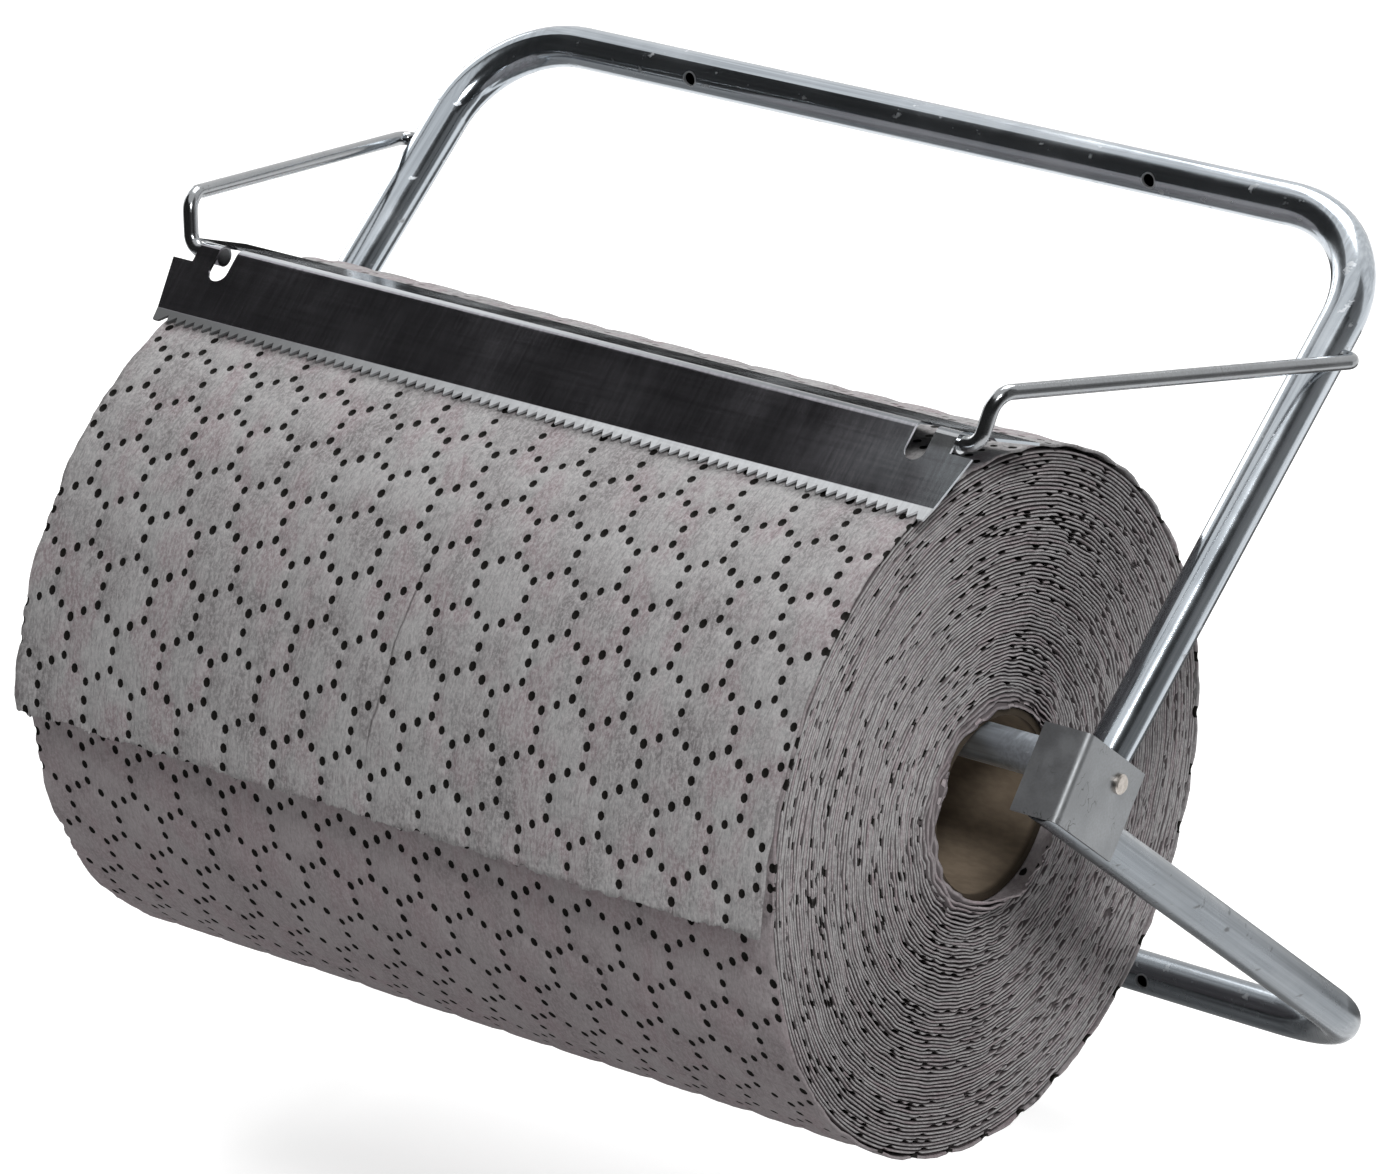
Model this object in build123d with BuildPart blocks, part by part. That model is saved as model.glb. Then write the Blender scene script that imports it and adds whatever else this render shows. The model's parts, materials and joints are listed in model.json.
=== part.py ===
"""Wall-mounted roll holder: folding tube frame, loose axle, tear bar on wire arms, wound roll.

Millimetres. X runs along the roll, Y points at the wall (the wall is the plane Y = 0) and Z is up.
The origin lies on the wall, midway between the two screw holes of the upper rail.
"""
import os
from math import acos, asin, atan2, cos, hypot, radians, sin

from build123d import *

# Tube frame: two U-bent tubes, riveted together where the legs meet the arms
tube_d = 19.0
tube_wall = 1.2
roll_room = 33.5
leg_length = 278.0
leg_slope = 39.4
rail_spacing = 378.0
corner_r = 50.0
screw_spacing = 250.0
screw_hole_d = 6.0
fold_gap = 1.5
trim_gap = 0.8

# Brackets and folding rivets
bracket_sheet = 1.5
bracket_bend_r = 3.0
bracket_front = 33.0
bracket_rear = 16.0
bracket_top = 10.0
bracket_bottom = 29.0
lip_width = 23.0
side_gap = 0.3
rivet_d = 6.0
rivet_head_d = 8.6
rivet_head_t = 2.0
rivet_edge = 0.7
rivet_tail_t = 1.8

# Axle, in the pocket between arm, leg and bracket lip
axle_d = 17.0
axle_wall = 1.5
axle_end_gap = 2.8
seat_gap = 0.3

# Roll: card core, wound body, and the outer layer that ends in a free edge at the front
roll_d = 302.0
roll_width = 400.0
core_bore_d = 76.0
core_wall = 3.0
core_gap = 0.2
hang_angle = 6.0
sheet_t = 1.5
wrap_gap = 0.5
lap_angle = 40.0
lap_steps = 8
free_edge_angle = 180.0

# Tear bar: one folded sheet, ridge over the wire ends, teeth along the front edge
bar_sheet = 1.2
bar_overhang = 13.0
bar_lean = 7.7
ridge_height = 16.0
plate_length = 32.0
plate_taper = 6.0
strip_width = 6.4
strip_kick = 9.0
strip_bend_r = 1.5
web_depth = 38.7
teeth_gap = 1.0
web_gap = 5.0
tooth_pitch = 5.0
tooth_depth = 3.6
tooth_lean = 1.2
plain_end = 2.5
notch_width = 11.0
notch_drop = 7.5
bridge_width = 11.0
window_width = 10.0
window_drop = 14.0
ridge_cut = 6.5
cut_depth = 10.0
cut_over = 1.0

# Wire arms that carry the bar
wire_d = 6.5
crank_rise = 22.2
crank_back = 5.5
crank_flare = 5.0
crank_r = 8.0
elbow_r = 9.0
eye_r = 5.5
wire_hole_drop = 65.5
wire_stand_off = 7.5
wire_tip_reach = 14.0
run_fit = 0.08

# Side view of the frame: every point below lies on the plane X = 0
tube_r = tube_d / 2
leg_x = roll_width / 2 + roll_room + tube_r
leg_spacing = 2 * leg_x
arm_x = leg_x + side_gap
plate_in = arm_x + tube_r
plate_out = plate_in + bracket_sheet
upper_rail = Vector(0, -tube_r, 0)
lower_rail = upper_rail - Vector(0, 0, rail_spacing)
leg_down = Vector(0, -cos(radians(leg_slope)), -sin(radians(leg_slope)))
rivet_axis = upper_rail + leg_down * leg_length
wire_hole = upper_rail + leg_down * wire_hole_drop

# The arm passes the rivet at a distance that lets it lie beside the leg once folded
arm_offset = tube_d + fold_gap
to_lower_rail = lower_rail - rivet_axis
arm_slope = atan2(-to_lower_rail.Z, to_lower_rail.Y) - asin(arm_offset / to_lower_rail.length)
arm_back = Vector(0, cos(arm_slope), -sin(arm_slope))
arm_up = Vector(0, sin(arm_slope), cos(arm_slope))
arm_foot = rivet_axis - arm_up * arm_offset
leg_end_r = arm_offset - tube_r - trim_gap

# The axle lies on the arm and against the leg, and the roll hangs on the axle
fold_angle = radians(leg_slope) + arm_slope
seat_reach = tube_r + axle_d / 2 + seat_gap
axle_back = ((seat_reach - arm_offset) * cos(fold_angle) - seat_reach) / sin(fold_angle)
axle_axis = arm_foot + arm_back * axle_back + arm_up * seat_reach
hang = (core_bore_d - axle_d) / 2 - seat_gap
roll_axis = axle_axis + Vector(0, sin(radians(hang_angle)), -cos(radians(hang_angle))) * hang

# The bar's pivot is the axis of the wire ends, above the roll and a little to the front
pivot_reach = roll_d / 2 + ridge_height
lean = radians(bar_lean)
bar_pivot = roll_axis + Vector(0, -sin(lean), cos(lean)) * pivot_reach
fold_r = wire_d / 2 + run_fit
knuckle_r = fold_r + bar_sheet


def angle_to_roll(along, rise, gap):
    """Angle at the bar's pivot between the roll's axis and a flank that holds its edge off the roll."""
    reach = hypot(along, rise)
    edge = acos((pivot_reach**2 + reach**2 - (roll_d / 2 + gap) ** 2) / (2 * pivot_reach * reach))
    return edge - atan2(rise, along)


kick = radians(strip_kick)
plate_angle = angle_to_roll(
    plate_length + strip_width * cos(kick), fold_r + strip_width * sin(kick), teeth_gap
)
web_angle = angle_to_roll(web_depth, fold_r, web_gap)
plate_down = Vector(0, sin(lean - plate_angle), -cos(lean - plate_angle))
plate_face = Vector(0, plate_down.Z, -plate_down.Y)
web_down = Vector(0, sin(lean + web_angle), -cos(lean + web_angle))
web_face = Vector(0, -web_down.Z, web_down.Y)
strip_down = plate_down * cos(kick) + plate_face * sin(kick)
half_turn = radians(plate_face.get_angle(web_face)) / 2
ridge = bar_pivot + (plate_face + web_face).normalized() * (fold_r / cos(half_turn))
plate_top = bar_pivot + plate_face * fold_r
plate_bend = plate_top + plate_down * plate_length
tooth_tip = plate_bend + strip_down * strip_width
web_edge = bar_pivot + web_face * fold_r + web_down * web_depth
bar_half = roll_width / 2 + bar_overhang
bridge_end = bar_half - notch_width
window_end = bridge_end - bridge_width
window_start = window_end - window_width
window_side = window_drop - window_width / 2

# The front plate's slanted end runs on across the tooth strip
end_slant = plate_taper / (plate_length - notch_drop)
strip_half = bar_half - end_slant * (plate_length + strip_width - notch_drop)
teeth = int(2 * (strip_half - plain_end) / tooth_pitch)


def at(x, point):
    """The side-view point moved along X."""
    return Vector(x, point.Y, point.Z)


def side(point):
    """The side-view point as the two coordinates of a sketch on the YZ plane."""
    return (point.Y, point.Z)


def spoke(angle):
    """Unit vector at an angle in degrees, in the roll's end view."""
    return Vector(cos(radians(angle)), sin(radians(angle)))


# Upper frame: the rail on the wall and the two legs, one bent tube
with BuildPart() as upper_frame:
    leg_end = rivet_axis + leg_down * tube_d
    with BuildLine() as upper_path:
        FilletPolyline(
            at(leg_x, leg_end),
            at(leg_x, upper_rail),
            at(-leg_x, upper_rail),
            at(-leg_x, leg_end),
            radius=corner_r,
        )
    with BuildSketch(Plane(upper_path.line @ 0, z_dir=upper_path.line % 0)):
        Circle(tube_r)
        Circle(tube_r - tube_wall, mode=Mode.SUBTRACT)
    sweep()
    # Round the tube ends about the rivets, so that they clear arm and axle in every fold
    with BuildSketch(Plane(rivet_axis, x_dir=leg_down, z_dir=(1, 0, 0))):
        Rectangle(2 * tube_d, 2 * tube_d, align=(Align.MIN, Align.CENTER))
        Circle(leg_end_r, mode=Mode.SUBTRACT)
    extrude(amount=leg_spacing, both=True, mode=Mode.SUBTRACT)
    with BuildSketch(Plane.YZ):
        with Locations(side(rivet_axis)):
            Circle(rivet_d / 2 + run_fit)
    extrude(amount=leg_spacing, both=True, mode=Mode.SUBTRACT)
    for face_x, outward in ((leg_x, tube_d), (-leg_x, -tube_d)):
        with BuildSketch(Plane.YZ.offset(face_x)):
            with Locations(side(wire_hole)):
                Circle(wire_d / 2 + run_fit)
        extrude(amount=outward, mode=Mode.SUBTRACT)
    with BuildSketch(Plane.XZ):
        with GridLocations(screw_spacing, 0, 2, 1):
            Circle(screw_hole_d / 2)
    extrude(amount=tube_d, both=True, mode=Mode.SUBTRACT)

# Lower frame: the rail on the wall and the two arms that rise to the brackets
with BuildPart() as lower_frame:
    arm_end = arm_foot - arm_back * (bracket_front - bracket_bend_r)
    with BuildLine() as lower_path:
        FilletPolyline(
            at(arm_x, arm_end),
            at(arm_x, lower_rail),
            at(-arm_x, lower_rail),
            at(-arm_x, arm_end),
            radius=corner_r,
        )
    with BuildSketch(Plane(lower_path.line @ 0, z_dir=lower_path.line % 0)):
        Circle(tube_r)
        Circle(tube_r - tube_wall, mode=Mode.SUBTRACT)
    sweep()
    with BuildSketch(Plane.XZ.offset(-lower_rail.Y)):
        with Locations((0, lower_rail.Z)):
            with GridLocations(screw_spacing, 0, 2, 1):
                Circle(screw_hole_d / 2)
    extrude(amount=tube_d, both=True, mode=Mode.SUBTRACT)

# Brackets: an L of sheet welded to the arm's end, plate outside and lip across the front
with BuildPart() as right_bracket:
    top_edge = rivet_axis + arm_up * bracket_top
    with BuildSketch(Plane(top_edge, x_dir=arm_back, z_dir=-arm_up)):
        with BuildLine():
            FilletPolyline(
                (-bracket_front, plate_out - lip_width),
                (-bracket_front, plate_out),
                (bracket_rear, plate_out),
                radius=bracket_bend_r,
            )
            offset(amount=bracket_sheet, side=Side.RIGHT)
        make_face()
    extrude(amount=bracket_top + bracket_bottom)
    with BuildSketch(Plane.YZ):
        with Locations(side(rivet_axis)):
            Circle(rivet_d / 2 + run_fit)
    extrude(amount=leg_spacing, mode=Mode.SUBTRACT)

with BuildPart() as left_bracket:
    mirror(right_bracket.part, about=Plane.YZ)

# Folding rivets: head on the plate, shank through the leg, formed tail on its inner side
with BuildPart() as right_rivet:
    with BuildSketch(Plane.YZ.offset(plate_out)):
        with Locations(side(rivet_axis)):
            Circle(rivet_head_d / 2)
    extrude(amount=rivet_head_t)
    chamfer(right_rivet.edges().sort_by(Axis.X)[-1], length=rivet_edge)
    tail_x = leg_x - tube_r - side_gap
    with BuildSketch(Plane.YZ.offset(plate_out)):
        with Locations(side(rivet_axis)):
            Circle(rivet_d / 2)
    extrude(amount=tail_x - plate_out)
    with BuildSketch(Plane.YZ.offset(tail_x)):
        with Locations(side(rivet_axis)):
            Circle(rivet_head_d / 2)
    extrude(amount=-rivet_tail_t)

with BuildPart() as left_rivet:
    mirror(right_rivet.part, about=Plane.YZ)

# Axle: a plain tube that lies loose in the two pockets
with BuildPart() as axle:
    with BuildSketch(Plane.YZ):
        with Locations(side(axle_axis)):
            Circle(axle_d / 2)
            Circle(axle_d / 2 - axle_wall, mode=Mode.SUBTRACT)
    extrude(amount=plate_in - axle_end_gap, both=True)

# Tear bar: sheet folded over the wire ends, with windows, end notches and a row of teeth
with BuildPart() as tear_bar:
    with BuildSketch(Plane.YZ):
        with BuildLine():
            FilletPolyline(
                side(web_edge), side(ridge), side(plate_bend), side(tooth_tip), radius=[fold_r, strip_bend_r]
            )
            offset(amount=bar_sheet, side=Side.RIGHT)
        make_face()
    extrude(amount=bar_half, both=True)
    cut_foot = plate_length + strip_width + cut_over
    with BuildSketch(Plane(plate_top, x_dir=(1, 0, 0), z_dir=plate_face)):
        for end in (-1, 1):
            # notch beside the ridge, then the slanted end of the front plate
            with BuildLine():
                Polyline(
                    (end * bridge_end, ridge_cut),
                    (end * (bar_half + cut_over), ridge_cut),
                    (end * (bar_half + cut_over), -cut_foot),
                    (end * (bar_half - end_slant * (cut_foot - notch_drop)), -cut_foot),
                    (end * bar_half, -notch_drop),
                    (end * bridge_end, -notch_drop),
                    close=True,
                )
            make_face()
            # window: square over the ridge, round at the bottom
            with BuildLine():
                Polyline(
                    (end * window_start, -window_side),
                    (end * window_start, ridge_cut),
                    (end * window_end, ridge_cut),
                    (end * window_end, -window_side),
                )
                ThreePointArc(
                    (end * window_start, -window_side),
                    (end * (window_start + window_end) / 2, -window_drop),
                    (end * window_end, -window_side),
                )
            make_face()
    extrude(amount=cut_depth, both=True, mode=Mode.SUBTRACT)
    # knuckles: the bridge between notch and window is rolled right round the wire
    for start in (window_end, -bridge_end):
        with BuildSketch(Plane.YZ.offset(start)):
            with Locations(side(bar_pivot)):
                Circle(knuckle_r)
                Circle(fold_r, mode=Mode.SUBTRACT)
        extrude(amount=bridge_width)
    # gullets between the teeth, one steep flank each
    with BuildSketch(Plane(tooth_tip, x_dir=(1, 0, 0), z_dir=strip_down.cross(Vector(1, 0, 0)))):
        with GridLocations(tooth_pitch, 0, teeth, 1):
            Polygon(
                (-tooth_pitch / 2, 0),
                (tooth_pitch / 2, 0),
                (tooth_pitch / 2 - tooth_lean, tooth_depth),
                align=None,
            )
    extrude(amount=2 * bar_sheet, both=True, mode=Mode.SUBTRACT)

# Wire arms: tip in the leg, long run outside it, crank down to the bar, pin inside the knuckle
with BuildPart() as right_wire_arm:
    elbow = bar_pivot + Vector(0, crank_back, crank_rise)
    crank_x = bridge_end + crank_r
    leg_face = leg_x + tube_r
    with BuildLine() as wire_path:
        FilletPolyline(
            at(window_end, bar_pivot),
            at(crank_x, bar_pivot),
            at(crank_x + crank_flare, elbow),
            at(leg_face + wire_stand_off, wire_hole),
            at(leg_face - wire_tip_reach, wire_hole),
            radius=[crank_r, elbow_r, eye_r],
        )
    with BuildSketch(Plane(wire_path.line @ 0, z_dir=wire_path.line % 0)):
        Circle(wire_d / 2)
    sweep()

with BuildPart() as left_wire_arm:
    mirror(right_wire_arm.part, about=Plane.YZ)

# Roll: card core, wound body and the outer layer, a spiral sheet whose free edge hangs at the front
core_r = core_bore_d / 2 + core_wall
wrap_pitch = sheet_t + wrap_gap
wrap_r = roll_d / 2 - wrap_pitch - sheet_t

with BuildPart() as card_core:
    with BuildSketch(Plane.YZ):
        with Locations(side(roll_axis)):
            Circle(core_r)
            Circle(core_bore_d / 2, mode=Mode.SUBTRACT)
    extrude(amount=roll_width / 2, both=True)

with BuildPart() as wound_roll:
    with BuildSketch(Plane.YZ):
        with Locations(side(roll_axis)):
            Circle(wrap_r - wrap_gap)
            Circle(core_r + core_gap, mode=Mode.SUBTRACT)
    extrude(amount=roll_width / 2, both=True)

with BuildPart() as outer_wrap:
    start_angle = free_edge_angle - lap_angle
    start_dir = spoke(start_angle)
    end_dir = spoke(free_edge_angle)
    shifted = start_dir * (wrap_pitch / 2)
    with BuildSketch(Plane(at(0, roll_axis), x_dir=(0, 1, 0), z_dir=(1, 0, 0))):
        with BuildLine():
            for r in (wrap_r, wrap_r + sheet_t):
                CenterArc((0, 0), r, start_angle, 180)
                CenterArc(shifted, r + wrap_pitch / 2, start_angle + 180, 180)
                CenterArc((0, 0), r + wrap_pitch, start_angle, lap_angle)
            Line(start_dir * wrap_r, start_dir * (wrap_r + sheet_t))
            Line(end_dir * (wrap_r + wrap_pitch), end_dir * (wrap_r + wrap_pitch + sheet_t))
        make_face()
    extrude(amount=roll_width / 2, both=True)

lap_angles = [start_angle + lap_angle * step / lap_steps for step in range(lap_steps + 1)]
under = [spoke(angle) * (wrap_r + sheet_t) for angle in lap_angles]
over = [spoke(angle) * (wrap_r + wrap_pitch) for angle in lap_angles]
least_gap = min((outer - inner).length for outer in over for inner in under)
print("least gap of the outer layer to itself", round(least_gap, 3))

pieces = {
    "upper_frame": upper_frame,
    "lower_frame": lower_frame,
    "left_bracket": left_bracket,
    "right_bracket": right_bracket,
    "left_rivet": left_rivet,
    "right_rivet": right_rivet,
    "axle": axle,
    "tear_bar": tear_bar,
    "left_wire_arm": left_wire_arm,
    "right_wire_arm": right_wire_arm,
    "card_core": card_core,
    "wound_roll": wound_roll,
    "outer_wrap": outer_wrap,
}
os.makedirs("parts", exist_ok=True)
for name, piece in pieces.items():
    piece.part.label = name
    export_step(piece.part, f"parts/{name}.step")
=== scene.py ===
"""Looks of the wall-mounted roll holder: metal finishes, the wound roll of sheet, the stage and camera."""
import json
from itertools import groupby
from math import ceil, cos, exp, hypot, pi, radians, sin

import bmesh
import bpy
import numpy as np
from mathutils import Matrix, Vector, noise
from mathutils.geometry import delaunay_2d_cdt


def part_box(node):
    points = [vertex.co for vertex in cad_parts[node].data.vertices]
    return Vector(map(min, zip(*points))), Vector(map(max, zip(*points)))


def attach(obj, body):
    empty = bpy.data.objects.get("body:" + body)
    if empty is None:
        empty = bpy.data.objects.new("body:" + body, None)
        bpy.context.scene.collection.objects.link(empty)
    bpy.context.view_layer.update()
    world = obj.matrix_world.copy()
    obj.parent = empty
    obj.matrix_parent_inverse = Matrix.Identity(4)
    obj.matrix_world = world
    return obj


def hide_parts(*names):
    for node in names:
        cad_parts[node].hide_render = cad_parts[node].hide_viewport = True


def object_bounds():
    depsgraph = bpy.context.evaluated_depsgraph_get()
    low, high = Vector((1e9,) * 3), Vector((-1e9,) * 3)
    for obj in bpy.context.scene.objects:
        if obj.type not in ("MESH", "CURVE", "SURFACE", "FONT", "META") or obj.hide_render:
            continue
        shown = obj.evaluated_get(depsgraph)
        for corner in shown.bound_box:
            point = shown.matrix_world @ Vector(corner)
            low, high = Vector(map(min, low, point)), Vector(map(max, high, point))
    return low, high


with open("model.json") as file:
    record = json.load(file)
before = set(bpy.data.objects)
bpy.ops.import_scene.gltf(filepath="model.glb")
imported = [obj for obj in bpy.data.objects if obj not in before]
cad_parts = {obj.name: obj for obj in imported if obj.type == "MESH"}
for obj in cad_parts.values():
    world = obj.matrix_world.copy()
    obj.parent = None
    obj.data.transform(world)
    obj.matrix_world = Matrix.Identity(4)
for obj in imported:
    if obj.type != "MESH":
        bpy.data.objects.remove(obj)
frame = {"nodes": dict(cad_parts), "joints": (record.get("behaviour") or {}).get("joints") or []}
cad_low, cad_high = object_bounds()
joints = {joint["name"]: joint for joint in frame["joints"]}

MM = 0.001

# The roll: its axis and width come from the frame, the sheet's sizes are the real ones
roll_y, roll_z = joints["roll_turn"]["pos_m"][1:]
half_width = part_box("wound_roll")[1].x
core_r = (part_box("card_core")[1].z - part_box("card_core")[0].z) / 2
layer_pitch = 1.53 * MM
layer_t = 1.1 * MM
first_r = core_r + 0.9 * MM
lap_start = 140.0
lap_end = 541.0
lap_r = 148.7 * MM
lap_rise = 0.7 * MM
sag_depth = 2.4 * MM
sag_angle = 188.0
sag_spread = 22.0
flap_angle = 500.0
flap_lift = 4.8 * MM
rise_from = 200.0
rise_to = 300.0
strip_step = 1.5 * MM
edge_round = 0.8 * MM

# Waves of the outer layer in general, on the free flap, and how still it lies under the bar
wave_slow = 0.5 * MM
wave_fine = 0.35 * MM
flap_slow = 1.3 * MM
flap_fine = 0.5 * MM
bar_calm = 0.8
bar_from = 440.0
bar_to = 498.0
bar_blend = 12.0

# Frayed edges of the outer layer: angles and widths over which they fray, and by how much
fray_angle = 1.2
fray_side = 4 * MM
fray_out = 0.003
fray_along = 0.45
free_edge_cuts = 5
free_edge_near = 0.001

# The honeycomb of bond dots: cells side by side along the roll, rows along the sheet
cell_width = 26.45 * MM
cell_row = 24.7 * MM
cell_turn = radians(1.52)
cell_rise = 0.85 * MM
dot_half_width = 2.0 * MM
dot_half_length = 2.4 * MM
dot_inner = 0.75
dot_depth = 0.95 * MM
dot_sides = 8
dot_size_low = 0.84
dot_push = 1.8 * MM
dot_seed = 5
ring_depths = (0.0, 0.55, 1.0)
cell_edge = 9 * MM
spot_fade = (0.6, 1.25)
tail_fade = (0.4, 0.95)

# The tile of two cells that repeats over the sheet, and the angles that its rows are read from
tile_columns = 4
tile_points = 12
tile_rows = range(-2, 23)
tile_near = 1e-7
places_per_metre = 1e6
angle_spare = 14
angle_steps = 1800

# Rows of the honeycomb round the roll: one law under the flap, one on the flap, a blend between them
row_r_under = 148.5 * MM
row_start_under = 393.9 * MM
row_pitch_under = 25.8 * MM
row_r_flap = 152.5 * MM
row_start_flap = 423.6 * MM
row_number_flap = 38
row_blend_from = 250.0
row_blend_to = 400.0
row_near = 0.01
drift_under = 1.7 * MM
drift_flap = 8.7 * MM

# The loose inner turns, which stand out round the core's mouth at the lower back of the right end
fold_turns = 5.0
fold_out = 8.0 * MM
fold_lean = 0.6 * MM
fold_steps = 8
fold_root = 1 * MM
fold_rise = (-125, -75)
fold_fall = (-5, 60)
seam_step = 1e-9

# A crease along the free flap, in the flat sheet's own places
crease_slope = 0.054
crease_offset = 0.0703
crease_from = 1.27
crease_to = 1.385
crease_start = 0.03
crease_stop = 0.02
crease_wander = 1.5 * MM
crease_thin = 0.1 * MM
crease_wide = 0.7 * MM

# Directions and places on the metal pieces and the core
leg_line = radians(-38.2)
arm_line = radians(39.2)
leg_from = 0.205
leg_blend = 0.012
hole_out = 0.125
rim_inner = 3.5 * MM
rim_outer = 3.9 * MM
rail_drop = 0.378
plate_down = (0.0, -0.7279, -0.6857)
ridge_from = 0.2036
plate_from = 0.2078
strip_from = 0.2412
knuckle_in = 0.0222
knuckle_low = 6 * MM
knuckle_end = 9 * MM
bend_soft = 0.6 * MM
ridge_soft = 1 * MM
# Length of the bar's right end that is rougher and painted with a lighter reflection
haze_and_reflection_length = 0.075
card_shade_width = 4 * MM
bar_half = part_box("tear_bar")[1].x

# The stage and the camera
floor_drop = 0.06
floor_half = 5.0
floor_glow_near = 0.62
floor_glow_far = 0.95
glow_from = 0.8
glow_to = 3.2
cloth_lift = 0.002
cloth_middle = -0.2
cloth_step = 15
lamp_aim = (0.0, -0.2, -0.18)
ambient_level = 0.33
camera_place = (1.71098, -2.32686, 0.93018)
camera_sensor = 36.0
camera_reach = 100.0
camera_lens = 176.493
camera_turn = 38.48811
camera_rise = 21.73688
camera_tilt = -1.01072


def smooth(value, low, high):
    """0 below low, 1 above high, and a smooth step between them."""
    t = min(max((value - low) / (high - low), 0.0), 1.0)
    return t * t * (3 - 2 * t)


# Material building

class Shader:
    """A node material with one principled shader; a socket is linked and any other value is set."""

    def __init__(self, name, **settings):
        self.material = bpy.data.materials.new(name)
        self.material.use_nodes = True
        self.nodes = self.material.node_tree.nodes
        self.links = self.material.node_tree.links
        self.shader = self.nodes["Principled BSDF"]
        self.set(**settings)

    def put(self, socket, value):
        if isinstance(value, bpy.types.NodeSocket):
            self.links.new(value, socket)
        else:
            socket.default_value = value

    def set(self, **settings):
        for name, value in settings.items():
            self.put(self.shader.inputs[name.replace("_", " ").title().replace("Ior", "IOR")], value)

    def node(self, kind, inputs=(), **settings):
        made = self.nodes.new("ShaderNode" + kind)
        for name, value in settings.items():
            setattr(made, name, value)
        for name, value in dict(inputs).items():
            self.put(made.inputs[name], value)
        return made

    def place(self):
        """Position in the part's own frame, in metres."""
        return self.node("TexCoord").outputs["Object"]

    def attribute(self, name, output="Fac"):
        return self.node("Attribute", attribute_name=name).outputs[output]

    def stretch(self, vector, scale, turn=0.0):
        """Turns a place about X, then scales it axis by axis."""
        turned = self.node("Mapping", {"Vector": vector, "Rotation": (turn, 0, 0)}).outputs["Vector"]
        return self.node("Mapping", {"Vector": turned, "Scale": scale}).outputs["Vector"]

    def noise(self, vector, scale, detail=3.0, roughness=0.55):
        values = {"Vector": vector, "Scale": scale, "Detail": detail, "Roughness": roughness}
        return self.node("TexNoise", values).outputs["Fac"]

    def band(self, value, low, high, to_low=0.0, to_high=1.0):
        values = {"Value": value, "From Min": low, "From Max": high, "To Min": to_low, "To Max": to_high}
        return self.node("MapRange", values, interpolation_type="SMOOTHSTEP").outputs["Result"]

    def math(self, operation, first, second=0.0):
        made = self.node("Math", operation=operation)
        self.put(made.inputs[0], first)
        self.put(made.inputs[1], second)
        return made.outputs[0]

    def along(self, vector, direction):
        """How far a place lies along a direction."""
        made = self.node("VectorMath", operation="DOT_PRODUCT")
        self.put(made.inputs[0], vector)
        self.put(made.inputs[1], direction)
        return made.outputs["Value"]

    def mix(self, share, first, second):
        made = self.node("Mix", data_type="RGBA")
        self.put(made.inputs[0], share)
        self.put(made.inputs[6], first)
        self.put(made.inputs[7], second)
        return made.outputs[2]

    def blend(self, share, first, second):
        """Mix of two plain values."""
        made = self.node("Mix", data_type="FLOAT")
        self.put(made.inputs[0], share)
        self.put(made.inputs[2], first)
        self.put(made.inputs[3], second)
        return made.outputs[0]

    def bump(self, height, distance):
        values = {"Height": height, "Distance": distance, "Strength": 1.0}
        self.set(normal=self.node("Bump", values).outputs["Normal"])


def grey(value, warm=0.0):
    """Linear grey; warm above 0 leans to brown, below 0 to blue."""
    return (value * (1 + warm), value, value * (1 - warm), 1.0)


def violet(value):
    """Dark steel's faint violet cast."""
    return (value * 0.99, value * 0.97, value * 1.06, 1.0)


def taupe(value, rose=0.06):
    """Linear grey with a rosy brown cast."""
    return (value * (1 + rose), value, value * (1 + 0.25 * rose), 1.0)


def new_piece(name, body, vertices, faces, finish):
    """A smooth mesh piece in the part's frame that rides on a body."""
    mesh = bpy.data.meshes.new(name)
    mesh.from_pydata([tuple(v) for v in vertices], [], [tuple(f) for f in faces])
    mesh.materials.append(finish)
    mesh.polygons.foreach_set("use_smooth", [True] * len(mesh.polygons))
    mesh.update()
    piece = bpy.data.objects.new(name, mesh)
    bpy.context.scene.collection.objects.link(piece)
    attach(piece, body)
    return piece


def mark(piece, name, values):
    """Stores one number, or three, at each point of a piece for its material."""
    values = np.asarray(values, dtype=float)
    if values.ndim == 2:
        piece.data.attributes.new(name, "FLOAT_VECTOR", "POINT").data.foreach_set("vector", values.ravel())
    else:
        piece.data.attributes.new(name, "FLOAT", "POINT").data.foreach_set("value", values)


# Metal finishes

def drawn_lines(made, place, slope):
    """Fine lines along the rails and, further out, along the sloping tubes."""
    rail = made.noise(made.stretch(place, (9, 650, 650)), 1.0, detail=4.0)
    tube = made.noise(made.stretch(place, (650, 9, 650), slope), 1.0, detail=4.0)
    out = made.math("ABSOLUTE", made.node("SeparateXYZ", {"Vector": place}).outputs["X"])
    return made.blend(made.band(out, leg_from, leg_from + leg_blend), rail, tube)


def hole_rim(made, place):
    """1 on the narrow burr round the screw holes of both rails."""
    x, _, z = made.node("SeparateXYZ", {"Vector": place}).outputs
    across = made.math("SUBTRACT", made.math("ABSOLUTE", x), hole_out)
    half = rail_drop / 2
    down = made.math("SUBTRACT", made.math("ABSOLUTE", made.math("ADD", z, half)), half)
    squares = [made.math("POWER", side, 2.0) for side in (across, down)]
    away = made.math("SQRT", made.math("ADD", *squares))
    return made.band(away, rim_inner, rim_outer, 1.0, 0.0)


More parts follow.
